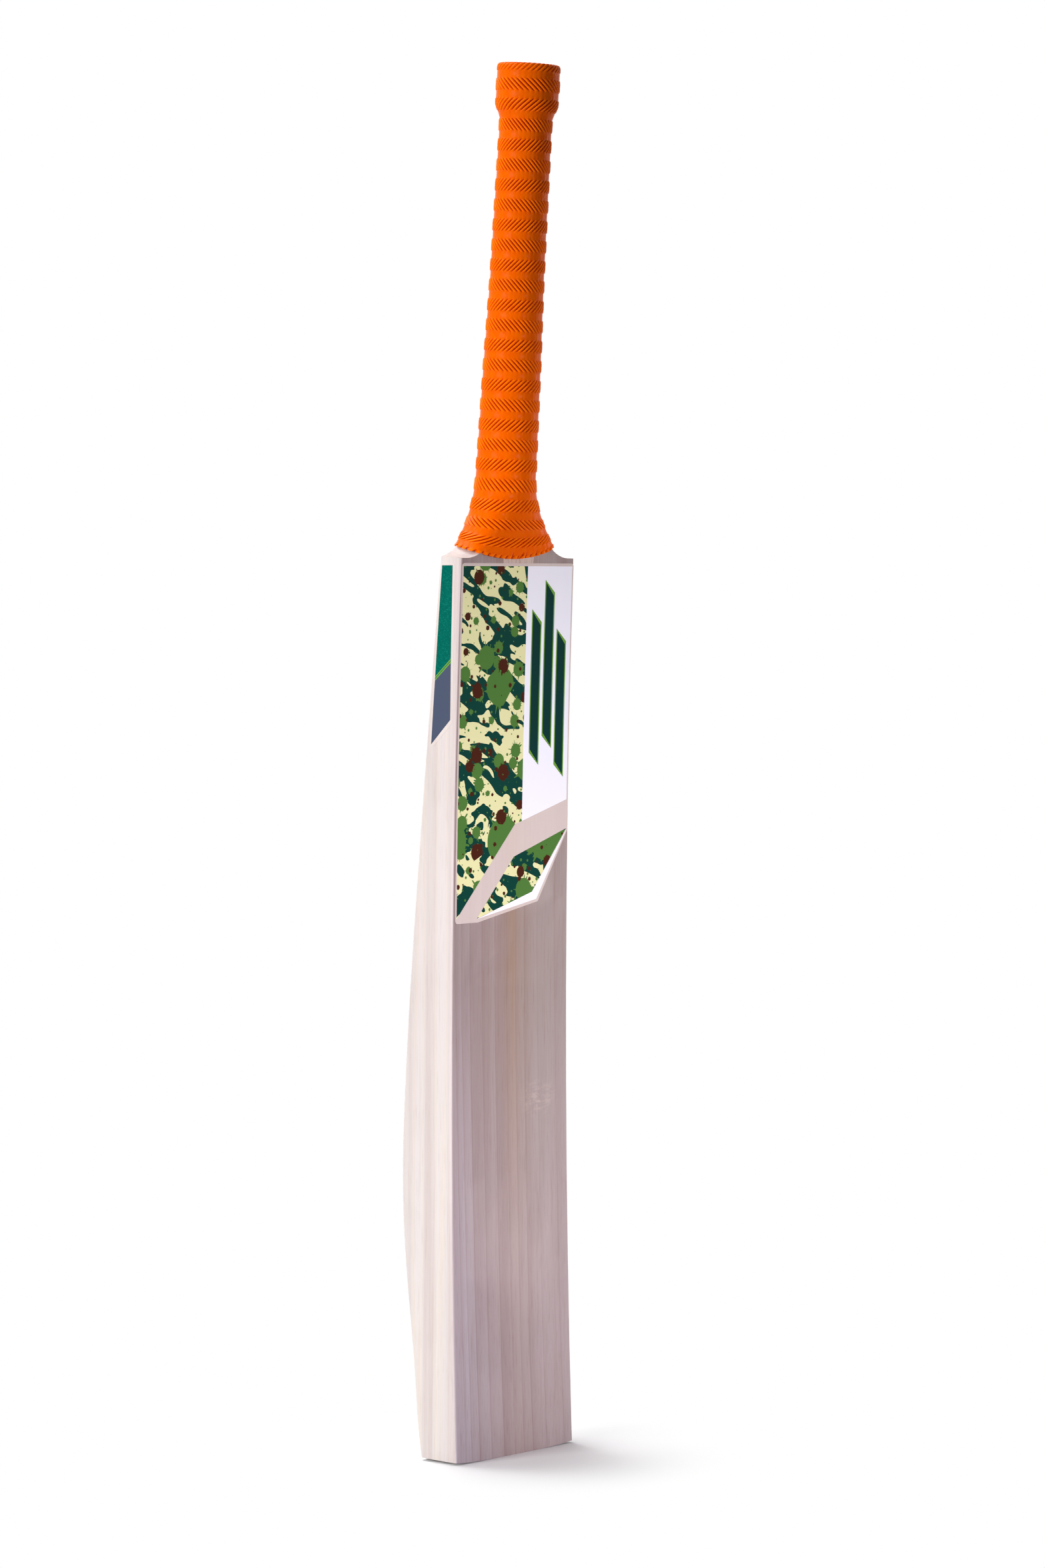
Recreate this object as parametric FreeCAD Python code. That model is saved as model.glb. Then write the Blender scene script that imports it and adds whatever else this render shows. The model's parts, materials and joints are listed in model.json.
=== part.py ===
import FreeCAD, Part
import math
import os
from FreeCAD import Vector

os.makedirs("parts", exist_ok=True)

# Cricket bat, full adult size, in millimetres.
# X runs across the blade, Y from the hitting face to the back and Z from the toe to the handle.
# The origin is the centre of the flat sole. Depths are first counted from the hitting face at the
# toe, and every piece is moved forwards by half the toe's thickness at the end.

# ---- Blade, one willow cleft -------------------------------------------------------------------
BLADE_LENGTH = 551.0        # sole to the face side of the shoulders
TOE_WIDTH = 108.0           # widest place, at the sole
SHOULDER_WIDTH = 103.6
FACE_BOW = 5.5              # depth of the bow of the hitting face from toe to shoulder
FACE_EDGE_CHAMFER = 1.5
EDGE_ROUND_SHARE = 0.07     # radius of the edge's back corner, as a share of the edge's thickness
FLANK_HOLLOW_SHARE = 0.12   # how far the flanks are hollowed, as a share of their rise
RIDGE_HALF_WIDTH = 9.0      # rounded crest of the spine
FLATTEST_FLANK = 0.02       # least slope of the flank's straight chord
# Place along the blade (0 sole, 1 shoulder), thickness of the edge, depth from face to spine.
BLADE_STATIONS = (
    (0.00, 29.2, 33.0),
    (0.10, 33.7, 41.5),
    (0.20, 38.9, 53.0),
    (0.29, 41.8, 61.0),
    (0.40, 40.0, 63.0),
    (0.55, 34.3, 56.5),
    (0.70, 27.9, 48.0),
    (0.85, 22.0, 39.0),
    (1.00, 16.8, 30.0),
    (1.08, 14.4, 29.0),
)

# ---- Toe ---------------------------------------------------------------------------------------
SOLE_FLAT_HALF = 32.0       # the sole is flat to here, then rises to the corners
SOLE_RISE = 1.0

# ---- Shoulders and neck ------------------------------------------------------------------------
SHOULDER_RADIUS_FACE = 25.0
SHOULDER_RADIUS_BACK = 40.0
SHOULDER_RISE_BACK = 1.8    # the back rim of the shoulder lies this much nearer the handle
NECK_HALF_WIDTH = 21.3      # half-width where the shoulder curves end

# ---- Handle axis and wood. Heights along the handle are counted from the shoulder --------------
HANDLE_LENGTH = 297.0       # shoulder to the cut end of the cane
HANDLE_LEAN = 4.1           # degrees, towards the face
HANDLE_DEPTH = 14.4         # handle axis behind the face at the shoulder
HANDLE_LOW_RADIUS = 15.9    # where the neck ends
HANDLE_WAIST_HEIGHT = 168.0
HANDLE_TOP_RADIUS = 13.7
NECK_LENGTH = 53.5
HANDLE_SIDES = 24           # narrow flats left by the plane, under the twine
# The neck swells from the round handle down to these sizes at the shoulder.
NECK_SWELL_HALF_WIDTH = 28.4
NECK_SWELL_REACH = 13.8     # from the axis to the front and to the back
NECK_SWELL_SQUARENESS = 2.9     # of the front half: 2 is an ellipse, more is a D
NECK_WIDTH_POWER = 1.25     # how fast the swelling dies away up the neck
NECK_REACH_POWER = 2.4
NECK_ROOT = 15.0            # the handle's form starts this far inside the blade
SQUARENESS_POWER = 2.2

# ---- V splice and laminated handle -------------------------------------------------------------
SPLICE_DEPTH = 135.0        # shoulder to the tip of the splice
SPLICE_HALF_WIDTH = 13.7    # at the shoulder
SPLICE_TIP_HALF_WIDTH = 1.8
CANE_WIDTH = 11.0           # middle column of cane
SPRING_THICKNESS = 1.5      # rubber and cork inserts between the rows of cane
SPRING_SPACING = 7.4        # between the middles of neighbouring inserts

# ---- Twine binding -----------------------------------------------------------------------------
TWINE_THICKNESS = 0.5
TWINE_START = 27.0

# ---- Rubber grip -------------------------------------------------------------------------------
GRIP_WALL = 2.1
HEM_HEIGHT = 1.2            # hem above the shoulder, in the middle of the face
HEM_ARCH_RADIUS = 78.0      # the hem arches up at both sides
COLLAR_LENGTH = 27.0        # where the grip is folded in on itself
COLLAR_TAPER = 6.5
COLLAR_RADIUS = 19.0
RIM_RADIUS = 2.6
RIM_OVERHANG = 2.0          # the rim stands above the cane and turns in over it
RIM_OPENING_RADIUS = 10.5
FLARE_STEP = 0.1            # the flare's top edge lies this far inside the round sleeve
FLARE_SIDES = 32
# Where it is stretched over the neck, the sleeve flares to these sizes at the shoulder.
FLARE_HALF_WIDTH = 44.0
FLARE_BACK_REACH = 18.2
FLARE_SQUARENESS = 5.0
FLARE_WIDTH_POWER = 2.0
FLARE_REACH_POWER = 1.2
CARVING_WIDTH_POWER = 2.44  # the blade's corners are carved down under the flare
CARVING_HEIGHT = 25.0
FLARE_START = 8.0           # the flare's form starts this far below the shoulder, under the hem
CARVING_SINK = 0.4          # the carving ends this far inside the handle's form

# ---- Stickers ----------------------------------------------------------------------------------
FILM_THICKNESS = 0.2
GLUE_THICKNESS = 0.15
FILM_CORNER_RADIUS = 2.0
FACE_FILM_TOP = 3.0         # below the shoulder
FACE_FILM_HALF_WIDTH = 50.4
FACE_FILM_LENGTH = 218.5
FACE_FILM_FOOT_WIDTH = 20.0     # level part of the lower border
FACE_FILM_FOOT_CORNER = (74.4, 10.4)    # lower right corner, from the lower left one
FACE_FILM_SIDE_RISE = 53.5      # right side's lower end above the lower border
EDGE_FILM_TOP = 3.0
EDGE_FILM_FRONT = 4.4       # behind the face corner, at the top
EDGE_FILM_TOP_WIDTH = 11.6
EDGE_FILM_FRONT_LENGTH = 96.0
EDGE_FILM_BACK_LENGTH = 114.5
EDGE_FILM_LOW_FRONT = 2.4
EDGE_FILM_LOW_BACK = 21.6

# ---- Helper clearances that only serve the cuts ------------------------------------------------
OVERSIZE = 30.0
NECK_STEP = 8.0             # largest distance between sections of the neck
EDGE_SEARCH = 3.0           # how near a long edge lies to the place where it is looked for

BOW_RADIUS = (BLADE_LENGTH ** 2 / 4.0 + FACE_BOW ** 2) / (2.0 * FACE_BOW)
SOLE_CENTRE = BLADE_STATIONS[0][1] / 2.0
SPINE_AT_SHOULDER = dict((place, spine) for place, edge, spine in BLADE_STATIONS)[1.0]


def face_y(z):
    """Depth of the bowed hitting face at height z."""
    return math.sqrt(BOW_RADIUS ** 2 - (z - BLADE_LENGTH / 2.0) ** 2) - BOW_RADIUS + FACE_BOW


def half_width(z):
    """Half the blade's width at height z."""
    return (TOE_WIDTH + (SHOULDER_WIDTH - TOE_WIDTH) * z / BLADE_LENGTH) / 2.0


def lean(shape):
    """Move a shape made about an upright handle axis onto the real, leaning one."""
    shape.rotate(Vector(0, 0, 0), Vector(1, 0, 0), HANDLE_LEAN)
    shape.translate(Vector(0, HANDLE_DEPTH, BLADE_LENGTH))
    return shape


# ---- Blade -------------------------------------------------------------------------------------
def blade_section(place, edge, spine):
    """Outline across the blade: edges, rounded back corners, hollow flanks and a round ridge.

    A flank hollowed by h over its run leaves its chord at a slope of 4 h / run at both ends. The
    ridge goes on from the flank's upper end without a corner.
    """
    z = place * BLADE_LENGTH
    w = half_width(z)
    run = w - RIDGE_HALF_WIDTH
    rise = spine - edge
    hollow = FLANK_HOLLOW_SHARE * rise
    bend = 4.0 * hollow
    drop = RIDGE_HALF_WIDTH * (rise + bend) / (2.0 * run + RIDGE_HALF_WIDTH)
    angle = math.atan(max(FLATTEST_FLANK, (rise - drop - bend) / run))
    radius = EDGE_ROUND_SHARE * edge
    turn = math.pi / 2.0 - angle
    tangent = radius * math.tan(turn / 2.0)
    base = face_y(z)

    def at(x, depth):
        return Vector(x, base + depth, z)

    side_end = at(w, edge - tangent)
    corner = at(w - radius + radius * math.cos(turn / 2.0),
                edge - tangent + radius * math.sin(turn / 2.0))
    flank_start = at(w - tangent * math.cos(angle), edge + tangent * math.sin(angle))
    flank_end = at(RIDGE_HALF_WIDTH, spine - drop)
    flank_middle = (flank_start + flank_end) * 0.5 - Vector(0, hollow, 0)
    ridge = at(0, spine)
    front = Vector(w, -OVERSIZE, z)

    def left(point):
        return Vector(-point.x, point.y, point.z)

    edges = [
        Part.makeLine(left(front), front),
        Part.makeLine(front, side_end),
        Part.Arc(side_end, corner, flank_start).toShape(),
        Part.Arc(flank_start, flank_middle, flank_end).toShape(),
        Part.Arc(flank_end, ridge, left(flank_end)).toShape(),
        Part.Arc(left(flank_end), left(flank_middle), left(flank_start)).toShape(),
        Part.Arc(left(flank_start), left(corner), left(side_end)).toShape(),
        Part.makeLine(left(side_end), left(front)),
    ]
    return Part.Wire(edges)


def face_cylinder(radius):
    """Cylinder across the bat whose wall is the bowed face."""
    cylinder = Part.makeCylinder(radius, TOE_WIDTH + 2 * OVERSIZE,
                                 Vector(-TOE_WIDTH / 2 - OVERSIZE, 0, 0), Vector(1, 0, 0))
    cylinder.translate(Vector(0, FACE_BOW - BOW_RADIUS, BLADE_LENGTH / 2.0))
    return cylinder


def toe_corner(side):
    """What is cut away under one end of the sole, which rises in an arc to its corner."""
    w = TOE_WIDTH / 2.0
    reach = w + OVERSIZE
    points = [Vector(SOLE_FLAT_HALF, 0, 0), Vector((SOLE_FLAT_HALF + w) / 2.0, 0, SOLE_RISE / 4.0),
              Vector(w, 0, SOLE_RISE), Vector(reach, 0, SOLE_RISE), Vector(reach, 0, -OVERSIZE),
              Vector(SOLE_FLAT_HALF, 0, -OVERSIZE)]
    start, middle, corner, beyond, low, inner = [Vector(side * p.x, p.y, p.z) for p in points]
    face = Part.Face(Part.Wire([
        Part.Arc(start, middle, corner).toShape(),
        Part.makeLine(corner, beyond),
        Part.makeLine(beyond, low),
        Part.makeLine(low, inner),
        Part.makeLine(inner, start),
    ]))
    face.translate(Vector(0, -OVERSIZE, 0))
    return face.extrude(Vector(0, 5 * OVERSIZE, 0))


def long_edges(shape, x, length, y_limit):
    """Edges that run the length of the blade near both sides of the face."""
    found = []
    for edge in shape.Edges:
        box = edge.BoundBox
        if box.ZLength > length and abs(abs(box.Center.x) - x) < EDGE_SEARCH and box.YMax < y_limit:
            found.append(edge)
    return found


def shoulder_profile(depth, side):
    """Closed outline, at one depth, of what is cut away above one shoulder."""
    share = depth / SPINE_AT_SHOULDER
    radius = SHOULDER_RADIUS_FACE + (SHOULDER_RADIUS_BACK - SHOULDER_RADIUS_FACE) * share
    base = BLADE_LENGTH + SHOULDER_RISE_BACK * share
    centre = Vector(NECK_HALF_WIDTH + radius, depth, base + radius)
    foot = centre + Vector(0, 0, -radius)
    neck = centre + Vector(-radius, 0, 0)
    middle = centre + Vector(-radius, 0, -radius) * math.sqrt(0.5)
    outer = Vector(TOE_WIDTH, depth, base)
    top = BLADE_LENGTH + 6 * OVERSIZE
    points = [neck, middle, foot, outer, Vector(TOE_WIDTH, depth, top),
              Vector(NECK_HALF_WIDTH, depth, top)]
    points = [Vector(side * p.x, p.y, p.z) for p in points]
    neck, middle, foot, outer, far, near = points
    return Part.Wire([
        Part.Arc(neck, middle, foot).toShape(),
        Part.makeLine(foot, outer),
        Part.makeLine(outer, far),
        Part.makeLine(far, near),
        Part.makeLine(near, neck),
    ])


def oval_points(count, height, half_x, front, back, squareness):
    """Points around the handle, on an ellipse or on a D with a flat front."""
    points = []
    for i in range(count):
        turn = 2.0 * math.pi * i / count
        c = math.cos(turn)
        s = math.sin(turn)
        power = 2.0 / squareness if s < 0 else 1.0
        x = math.copysign(abs(c) ** power, c) * half_x
        y = math.copysign(abs(s) ** power, s) * (front if s < 0 else back)
        points.append(Vector(x, y, height))
    return points


def handle_radius(height):
    """Radius of the handle's wood above the neck: a taper up to the waist, then straight."""
    share = max(0.0, (HANDLE_WAIST_HEIGHT - height) / (HANDLE_WAIST_HEIGHT - NECK_LENGTH))
    return HANDLE_TOP_RADIUS + (HANDLE_LOW_RADIUS - HANDLE_TOP_RADIUS) * share


def turned(outline):
    """Solid of revolution about the handle axis from (radius, height) corners."""
    points = [Vector(r, 0, h) for r, h in outline]
    face = Part.Face(Part.makePolygon(points + points[:1]))
    return face.revolve(Vector(0, 0, 0), Vector(0, 0, 1), 360)


def neck_sections(low, end_radius, half_width, front, back, squareness, width_power, reach_power):
    """Evenly spaced sections that swell from a circle at the neck's top down to the shoulder."""
    count = math.ceil((NECK_LENGTH - low) / NECK_STEP)
    rows = []
    for i in range(count + 1):
        height = low + (NECK_LENGTH - low) * i / count
        rest = max(0.0, 1.0 - height / NECK_LENGTH)
        wide = rest ** width_power
        deep = rest ** reach_power
        rows.append((height,
                     end_radius + (half_width - end_radius) * wide,
                     end_radius + (front - end_radius) * deep,
                     end_radius + (back - end_radius) * deep,
                     2.0 + (squareness - 2.0) * rest ** SQUARENESS_POWER))
    return rows


def wood_sections():
    """Sections of the handle's wood, from inside the blade to the cut end."""
    neck = neck_sections(-NECK_ROOT, HANDLE_LOW_RADIUS, NECK_SWELL_HALF_WIDTH, NECK_SWELL_REACH,
                         NECK_SWELL_REACH, NECK_SWELL_SQUARENESS, NECK_WIDTH_POWER,
                         NECK_REACH_POWER)
    radii = [(h, handle_radius(h)) for h in (HANDLE_WAIST_HEIGHT, HANDLE_LENGTH)]
    return neck + [(h, r, r, r, 2.0) for h, r in radii]


def flare_sections():
    """Outer form of the sleeve over the neck, at its plain bands."""
    return neck_sections(-FLARE_START, sleeve_radius(NECK_LENGTH) - FLARE_STEP, FLARE_HALF_WIDTH,
                         HANDLE_DEPTH + GRIP_WALL, FLARE_BACK_REACH, FLARE_SQUARENESS,
                         FLARE_WIDTH_POWER, FLARE_REACH_POWER)


def carving_sections():
    """What is left of the blade's corners under the flare; it runs out into the handle."""
    return neck_sections(-FLARE_START, HANDLE_LOW_RADIUS - CARVING_SINK,
                         FLARE_HALF_WIDTH - GRIP_WALL, HANDLE_DEPTH,
                         FLARE_BACK_REACH - GRIP_WALL, FLARE_SQUARENESS,
                         CARVING_WIDTH_POWER, CARVING_WIDTH_POWER)


def above_hem():
    """Everything above the arched line of the sleeve's hem, upright."""
    reach = 4 * OVERSIZE
    centre = HEM_HEIGHT + HEM_ARCH_RADIUS
    arch = Part.makeCylinder(HEM_ARCH_RADIUS, 2 * reach, Vector(0, -reach, centre),
                             Vector(0, 1, 0))
    upper = Part.makeBox(2 * reach, 2 * reach, HANDLE_LENGTH, Vector(-reach, -reach, centre))
    return upper.fuse(arch)


def planed(sections, sides=HANDLE_SIDES, grow=0.0):
    """Upright solid of narrow flats through a row of sections, thicker by grow all round."""
    wires = []
    for height, half_x, front, back, squareness in sections:
        corners = oval_points(sides, height, half_x + grow, front + grow, back + grow, squareness)
        wires.append(Part.makePolygon(corners + corners[:1]))
    return Part.makeLoft(wires, True, True)


def blade_body():
    """The willow and the splice as one body, up to the neck."""
    body = Part.makeLoft([blade_section(*station) for station in BLADE_STATIONS], True, False)
    body = body.cut(face_cylinder(BOW_RADIUS))
    corners = long_edges(body, half_width(BLADE_LENGTH / 2.0), BLADE_LENGTH,
                         FACE_BOW + EDGE_SEARCH)
    body = body.makeChamfer(FACE_EDGE_CHAMFER, corners)
    for side in (-1, 1):
        body = body.cut(toe_corner(side))
        wires = [shoulder_profile(depth, side)
                 for depth in (-OVERSIZE / 4.0, SPINE_AT_SHOULDER + OVERSIZE / 4.0)]
        body = body.cut(Part.makeLoft(wires, True, True))
    carving = above_hem().cut(planed(carving_sections()))
    reach = 4 * OVERSIZE
    keep_off = Part.makeBox(2 * reach, 2 * reach, reach, Vector(-reach, -reach, CARVING_HEIGHT))
    return body.cut(lean(carving)).cut(lean(keep_off))


def wood():
    """Blade and handle in one, before the splice is cut."""
    return blade_body().fuse(lean(planed(wood_sections())))


# ---- V splice ----------------------------------------------------------------------------------
def splice_wedge():
    """Wedge through the full depth, from the splice's tip to beyond the cut end."""
    spread = (SPLICE_HALF_WIDTH - SPLICE_TIP_HALF_WIDTH) / SPLICE_DEPTH
    top = HANDLE_LENGTH + OVERSIZE
    top_half = SPLICE_HALF_WIDTH + spread * top
    depth = 4 * OVERSIZE
    points = [
        Vector(-SPLICE_TIP_HALF_WIDTH, -depth, -SPLICE_DEPTH),
        Vector(SPLICE_TIP_HALF_WIDTH, -depth, -SPLICE_DEPTH),
        Vector(top_half, -depth, top),
        Vector(-top_half, -depth, top),
    ]
    return lean(Part.Face(Part.makePolygon(points + points[:1])).extrude(Vector(0, 2 * depth, 0)))


def slab(x_range, y_range, z_range):
    """Box about the upright handle axis, leaned with it."""
    box = Part.makeBox(x_range[1] - x_range[0], y_range[1] - y_range[0], z_range[1] - z_range[0],
                       Vector(x_range[0], y_range[0], z_range[0]))
    return lean(box)


def handle_pieces(core):
    """Cut the handle core into springs and rows and columns of cane."""
    reach = 4 * OVERSIZE
    heights = (-reach - SPLICE_DEPTH, HANDLE_LENGTH + reach)
    middles = [-SPRING_SPACING, 0.0, SPRING_SPACING]
    half = SPRING_THICKNESS / 2.0
    pieces = {}
    for name, middle in zip(("spring_front", "spring_middle", "spring_back"), middles):
        sheet = slab((-reach, reach), (middle - half, middle + half), heights)
        pieces[name] = core.common(sheet)
    row_limits = [-reach] + middles + [reach]
    column_limits = (-reach, -CANE_WIDTH / 2.0, CANE_WIDTH / 2.0, reach)
    for i, row in enumerate(("front", "mid_front", "mid_back", "back")):
        for j, column in enumerate(("left", "centre", "right")):
            low = row_limits[i] + (half if i > 0 else 0.0)
            high = row_limits[i + 1] - (half if i < 3 else 0.0)
            strip = slab(column_limits[j:j + 2], (low, high), heights)
            pieces["cane_" + row + "_" + column] = core.common(strip)
    return pieces


# ---- Twine binding -----------------------------------------------------------------------------
def twine_binding(wood_solid):
    """Close whipping of waxed twine over the handle, from the neck to the cut end."""
    reach = 4 * OVERSIZE
    length = slab((-reach, reach), (-reach, reach), (TWINE_START, HANDLE_LENGTH))
    return lean(planed(wood_sections(), grow=TWINE_THICKNESS)).common(length).cut(wood_solid)


# ---- Rubber grip -------------------------------------------------------------------------------
def sleeve_radius(height):
    """Outer radius of the plain bands at one height on the round part of the handle."""
    foot = HANDLE_LENGTH + RIM_OVERHANG - COLLAR_LENGTH
    share = min(1.0, max(0.0, (height - foot + COLLAR_TAPER) / COLLAR_TAPER))
    plain = handle_radius(height) + TWINE_THICKNESS + GRIP_WALL
    return plain + (COLLAR_RADIUS - plain) * share


def grip_tube():
    """Round part of the sleeve: the long taper, the folded collar and its rim."""
    top = HANDLE_LENGTH + RIM_OVERHANG
    foot = top - COLLAR_LENGTH
    heights = (NECK_LENGTH, HANDLE_WAIST_HEIGHT, foot - COLLAR_TAPER, foot, top - RIM_RADIUS)
    wall = [(sleeve_radius(h), h) for h in heights]
    crown = COLLAR_RADIUS - RIM_RADIUS
    return turned(wall + [(crown, top), (0.0, top), (0.0, NECK_LENGTH)])


def rubber_grip(wood_solid, twine):
    """Sleeve with a flared hem and a folded collar."""
    reach = 4 * OVERSIZE
    sleeve = grip_tube().fuse(planed(flare_sections(), FLARE_SIDES))
    opening = Part.makeCylinder(RIM_OPENING_RADIUS, reach, Vector(0, 0, HANDLE_LENGTH))
    sleeve = lean(sleeve.common(above_hem()).cut(opening))
    return sleeve.cut(wood_solid).cut(twine)


# ---- Stickers ----------------------------------------------------------------------------------
def rounded_prism(points, travel):
    """Prism over a polygon whose corners are rounded."""
    block = Part.Face(Part.makePolygon(points + points[:1])).extrude(travel)
    direction = Vector(travel).normalize()
    corners = []
    for edge in block.Edges:
        along = edge.Vertexes[-1].Point - edge.Vertexes[0].Point
        if abs(along.normalize().dot(direction)) > 0.99:
            corners.append(edge)
    return block.makeFillet(FILM_CORNER_RADIUS, corners)


def face_sticker():
    """Vinyl film on the upper half of the bowed face."""
    top = BLADE_LENGTH - FACE_FILM_TOP
    foot = top - FACE_FILM_LENGTH
    left = -FACE_FILM_HALF_WIDTH
    front = -OVERSIZE
    points = [
        Vector(left, front, foot),
        Vector(left + FACE_FILM_FOOT_WIDTH, front, foot),
        Vector(left + FACE_FILM_FOOT_CORNER[0], front, foot + FACE_FILM_FOOT_CORNER[1]),
        Vector(-left, front, foot + FACE_FILM_SIDE_RISE),
        Vector(-left, front, top),
        Vector(left, front, top),
    ]
    block = rounded_prism(points, Vector(0, 2 * OVERSIZE, 0))
    back = BOW_RADIUS - GLUE_THICKNESS
    shell = face_cylinder(back).cut(face_cylinder(back - FILM_THICKNESS))
    return block.common(shell)


def edge_sticker():
    """Vinyl film on the left edge, which tapers towards the toe."""
    top = BLADE_LENGTH - EDGE_FILM_TOP
    front_foot = top - EDGE_FILM_FRONT_LENGTH
    back_foot = top - EDGE_FILM_BACK_LENGTH
    outside = -TOE_WIDTH
    points = [
        Vector(outside, face_y(top) + EDGE_FILM_FRONT, top),
        Vector(outside, face_y(top) + EDGE_FILM_FRONT + EDGE_FILM_TOP_WIDTH, top),
        Vector(outside, face_y(back_foot) + EDGE_FILM_LOW_BACK, back_foot),
        Vector(outside, face_y(front_foot) + EDGE_FILM_LOW_FRONT, front_foot),
    ]
    block = rounded_prism(points, Vector(TOE_WIDTH, 0, 0))
    w_top = half_width(top + OVERSIZE) + GLUE_THICKNESS
    w_foot = half_width(back_foot - OVERSIZE) + GLUE_THICKNESS
    film = FILM_THICKNESS
    strip = [
        Vector(-w_top - film, -OVERSIZE, top + OVERSIZE),
        Vector(-w_top, -OVERSIZE, top + OVERSIZE),
        Vector(-w_foot, -OVERSIZE, back_foot - OVERSIZE),
        Vector(-w_foot - film, -OVERSIZE, back_foot - OVERSIZE),
    ]
    layer = Part.Face(Part.makePolygon(strip + strip[:1])).extrude(Vector(0, 4 * OVERSIZE, 0))
    return block.common(layer)


# ---- Build -------------------------------------------------------------------------------------
wood_solid = wood()
wedge = splice_wedge()
twine = twine_binding(wood_solid)
nodes = handle_pieces(wood_solid.common(wedge))
nodes["willow_blade"] = wood_solid.cut(wedge)
nodes["twine_binding"] = twine
nodes["rubber_grip"] = rubber_grip(wood_solid, twine)
nodes["face_sticker"] = face_sticker()
nodes["edge_sticker"] = edge_sticker()
for name, shape in nodes.items():
    shape.translate(Vector(0, -SOLE_CENTRE, 0))
    shape.exportStep("parts/" + name + ".step")
    print(name, shape.isValid(), len(shape.Solids), len(shape.Faces), round(shape.Volume))
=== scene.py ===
import bpy
import json
import math
import numpy as np
from mathutils import Matrix, Vector

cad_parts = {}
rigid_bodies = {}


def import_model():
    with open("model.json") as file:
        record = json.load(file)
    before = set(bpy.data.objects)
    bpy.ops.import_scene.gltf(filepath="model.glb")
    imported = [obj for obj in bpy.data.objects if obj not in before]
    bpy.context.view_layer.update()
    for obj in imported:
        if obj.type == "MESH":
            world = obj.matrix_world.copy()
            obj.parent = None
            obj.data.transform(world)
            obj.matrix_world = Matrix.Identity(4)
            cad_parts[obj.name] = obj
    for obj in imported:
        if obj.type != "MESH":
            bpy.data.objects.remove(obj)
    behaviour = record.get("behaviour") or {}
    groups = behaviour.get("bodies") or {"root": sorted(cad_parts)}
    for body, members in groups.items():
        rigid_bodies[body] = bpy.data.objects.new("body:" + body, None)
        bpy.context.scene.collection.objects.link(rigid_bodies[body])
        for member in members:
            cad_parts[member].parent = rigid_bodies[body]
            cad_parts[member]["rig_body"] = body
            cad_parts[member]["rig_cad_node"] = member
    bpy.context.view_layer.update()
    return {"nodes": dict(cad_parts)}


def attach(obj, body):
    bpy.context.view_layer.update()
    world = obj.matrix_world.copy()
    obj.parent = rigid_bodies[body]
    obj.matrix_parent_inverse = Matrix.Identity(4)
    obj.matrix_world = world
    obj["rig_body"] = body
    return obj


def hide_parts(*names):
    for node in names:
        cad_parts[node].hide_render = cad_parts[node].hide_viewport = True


# Cricket bat: bowed willow blade, spliced cane handle, ribbed rubber sleeve and vinyl films.
# Metres. X runs across the blade, Y from the hitting face to the back, Z from toe to handle.

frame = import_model()
NODES = frame["nodes"]
MM = 0.001
MERGE_DISTANCE = 0.001 * MM     # points of a new mesh this close are one
CAD_MERGE_DISTANCE = 0.002 * MM
CUT_TOLERANCE = 0.0005 * MM

# ---- Sizes shared with the CAD frame -------------------------------------------------------------
BLADE_LENGTH = 551.0 * MM
FACE_BOW = 5.5 * MM
TOE_HALF_WIDTH = 54.0 * MM
SHOULDER_HALF_WIDTH = 51.8 * MM
SOLE_CENTRE = 14.6 * MM         # the origin lies this far behind the hitting face at the toe
BOW_RADIUS = (BLADE_LENGTH ** 2 / 4.0 + FACE_BOW ** 2) / (2.0 * FACE_BOW)
HANDLE_LEAN = math.radians(4.1)
HANDLE_FOOT = Vector((0.0, 14.4 * MM - SOLE_CENTRE, BLADE_LENGTH))


def face_y(z):
    """Depth of the bowed hitting face at height z."""
    rise = math.sqrt(BOW_RADIUS ** 2 - (z - BLADE_LENGTH / 2.0) ** 2) - BOW_RADIUS
    return rise + FACE_BOW - SOLE_CENTRE


# ---- Small helpers -------------------------------------------------------------------------------
def hex_colour(code):
    """Linear RGBA of an sRGB hex colour."""
    linear = []
    for i in (0, 2, 4):
        value = int(code[i:i + 2], 16) / 255.0
        linear.append(value / 12.92 if value <= 0.04045 else ((value + 0.055) / 1.055) ** 2.4)
    return (*linear, 1.0)


def pick_only(obj):
    """Deselect everything and make one object the active one."""
    bpy.ops.object.select_all(action="DESELECT")
    obj.select_set(True)
    bpy.context.view_layer.objects.active = obj


def edit_all(obj):
    """Edit one object with its whole mesh selected."""
    pick_only(obj)
    bpy.ops.object.mode_set(mode="EDIT")
    bpy.ops.mesh.select_all(action="SELECT")


def leave_edit():
    """Go back to object mode."""
    bpy.ops.object.mode_set(mode="OBJECT")


def apply_modifier(obj, kind, **settings):
    """Add a modifier with its settings and apply it."""
    pick_only(obj)
    modifier = obj.modifiers.new(kind.title(), kind)
    for name, value in settings.items():
        setattr(modifier, name, value)
    bpy.ops.object.modifier_apply(modifier=modifier.name)


def own_copy(node, name):
    """A merged copy of a CAD node's mesh, to be finished as a piece of its own."""
    piece = NODES[node].copy()
    piece.data = NODES[node].data.copy()
    piece.name = name
    piece.data.name = name
    piece.parent = None
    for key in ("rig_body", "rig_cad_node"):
        if key in piece:
            del piece[key]
    bpy.context.scene.collection.objects.link(piece)
    edit_all(piece)
    bpy.ops.mesh.remove_doubles(threshold=CAD_MERGE_DISTANCE)
    leave_edit()
    return piece


def settle(piece, replaced=(), materials=()):
    """Give a finished piece its materials and its body, and hide the CAD nodes that it stands for.
    """
    if materials:
        piece.data.materials.clear()
    for material in materials:
        piece.data.materials.append(material)
    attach(piece, "root")
    if replaced:
        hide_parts(*replaced)


# ---- Materials -----------------------------------------------------------------------------------
def new_material(name):
    """An empty node material and its tree."""
    material = bpy.data.materials.new(name)
    material.use_nodes = True
    material.node_tree.nodes.clear()
    return material, material.node_tree


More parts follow.
